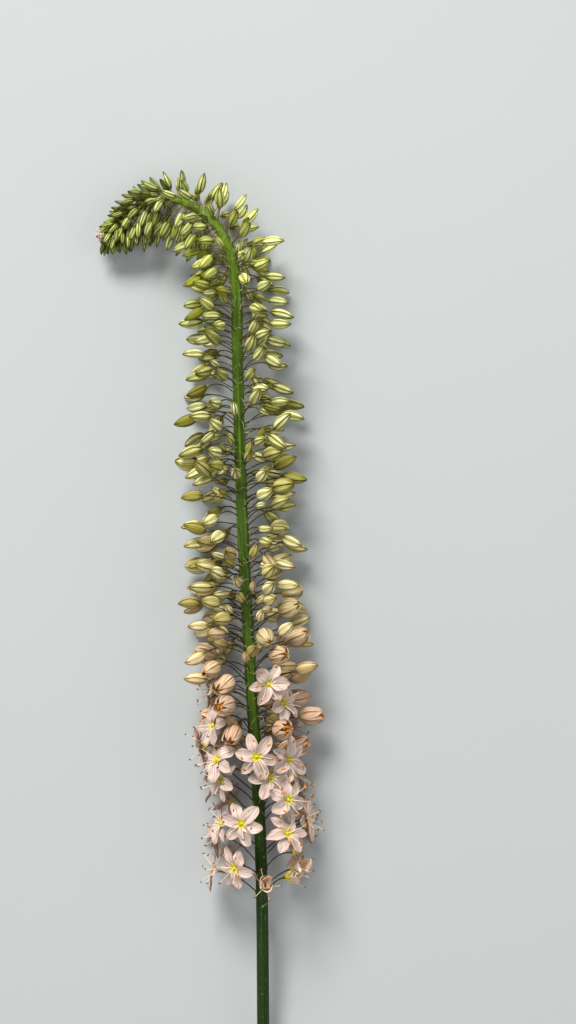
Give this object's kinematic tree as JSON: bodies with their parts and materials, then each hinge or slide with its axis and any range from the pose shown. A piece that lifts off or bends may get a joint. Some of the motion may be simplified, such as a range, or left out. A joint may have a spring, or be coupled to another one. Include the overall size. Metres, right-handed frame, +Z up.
{
  "type": "foxtail lily flower spike",
  "caption": "Tall cut flower spike lying down: stalk with open flowers low, then opening buds, closed buds and a drooping tip.",
  "frame": {"origin": "on the surface that the spike lies on, below the middle of its length and of its width", "axes": "+Y along the stalk from its cut end towards the tip, +X across it, away from the side the tip droops to, +Z up from the surface"},
  "size_m": [0.1908, 0.9214, 0.0846],
  "materials": {
    "stalk_and_buds": "matt, faintly waxy plant skin",
    "tepals": "soft matt petal"
  },
  "bodies": {
    "root": {"stalk_with_buds": "stalk_and_buds", "flower_01": "tepals", "flower_02": "tepals", "flower_03": "tepals", "flower_04": "tepals", "flower_05": "tepals", "flower_06": "tepals", "flower_07": "tepals", "flower_08": "tepals", "flower_09": "tepals", "flower_10": "tepals", "flower_11": "tepals", "flower_12": "tepals", "flower_13": "tepals", "flower_14": "tepals", "flower_15": "tepals", "flower_16": "tepals", "flower_17": "tepals", "flower_18": "tepals", "flower_19": "tepals", "flower_20": "tepals", "flower_21": "tepals", "flower_22": "tepals", "flower_23": "tepals", "flower_24": "tepals", "flower_25": "tepals", "flower_26": "tepals", "flower_27": "tepals", "flower_28": "tepals", "flower_29": "tepals", "flower_30": "tepals", "flower_31": "tepals"}
  },
  "joints": []
}
